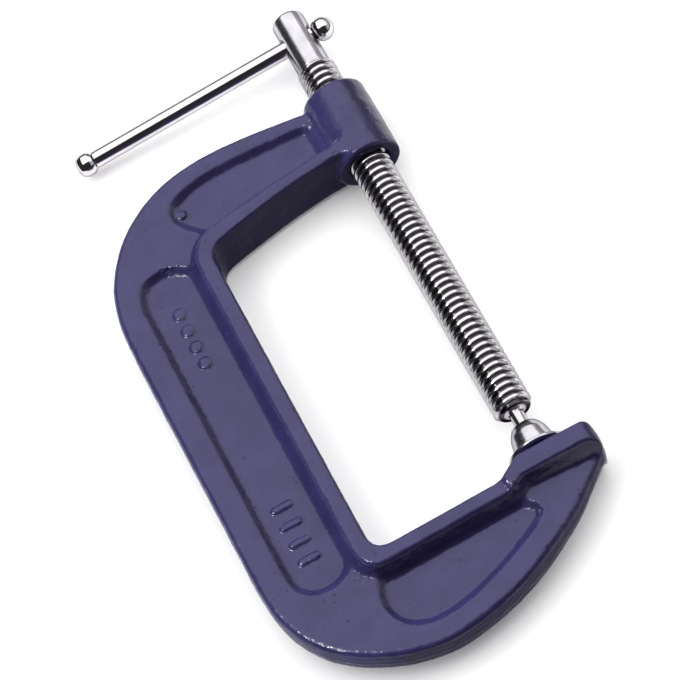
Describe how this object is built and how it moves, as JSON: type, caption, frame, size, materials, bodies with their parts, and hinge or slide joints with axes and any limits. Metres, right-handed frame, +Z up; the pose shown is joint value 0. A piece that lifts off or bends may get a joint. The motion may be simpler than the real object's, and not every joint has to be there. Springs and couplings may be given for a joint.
{
  "type": "c clamp",
  "caption": "Cast C-shaped screw clamp: ribbed C frame with anvil, threaded spindle with sliding tommy bar, and a swivel shoe.",
  "frame": {"origin": "centre of the base of the clamp's box, with the clamp lying on its side; the screw's axis is at x = 37.85 mm, z = 10.7 mm, and the anvil's face at y = -69.37 mm", "axes": "+Y along the screw's axis, from the anvil to the handle; +X from the spine towards the open mouth; +Z up, through the frame's thickness"},
  "size_m": [0.1102, 0.2194, 0.0214],
  "materials": {
    "enamel": "gloss enamel over sand-cast iron",
    "bright_steel": "bright plated steel",
    "dull_steel": "plain steel"
  },
  "bodies": {
    "frame": {"frame": "enamel"},
    "carriage": {"retaining_washer": "dull_steel"},
    "spindle": {"spindle": "bright_steel"},
    "handle": {"tommy_bar": "bright_steel", "bar_collar": "bright_steel", "bar_ball": "bright_steel"},
    "shoe": {"shoe_cup": "bright_steel", "shoe_base": "bright_steel"}
  },
  "joints": [
    {"name": "screw_travel", "type": "slide", "parent": "frame", "child": "carriage", "axis": [0, 1, 0], "range_m": [0, 0.1016]},
    {"name": "screw_turn", "type": "hinge", "parent": "carriage", "child": "spindle", "pos_m": [0.03785, 0, 0.0107], "axis": [0, 1, 0], "range_deg": [0, 14400]},
    {"name": "bar_slide", "type": "slide", "parent": "spindle", "child": "handle", "axis": [0.9979, 0, 0.0645], "range_m": [0, 0.069]},
    {"name": "shoe_tilt", "type": "hinge", "parent": "carriage", "child": "shoe", "pos_m": [0.03785, -0.06297, 0.0107], "axis": [1, 0, 0], "range_deg": [-6, 6]}
  ],
  "couplings": [
    {"joint": "screw_travel", "follows": "screw_turn", "m_per_rad": 0.00040425}
  ]
}
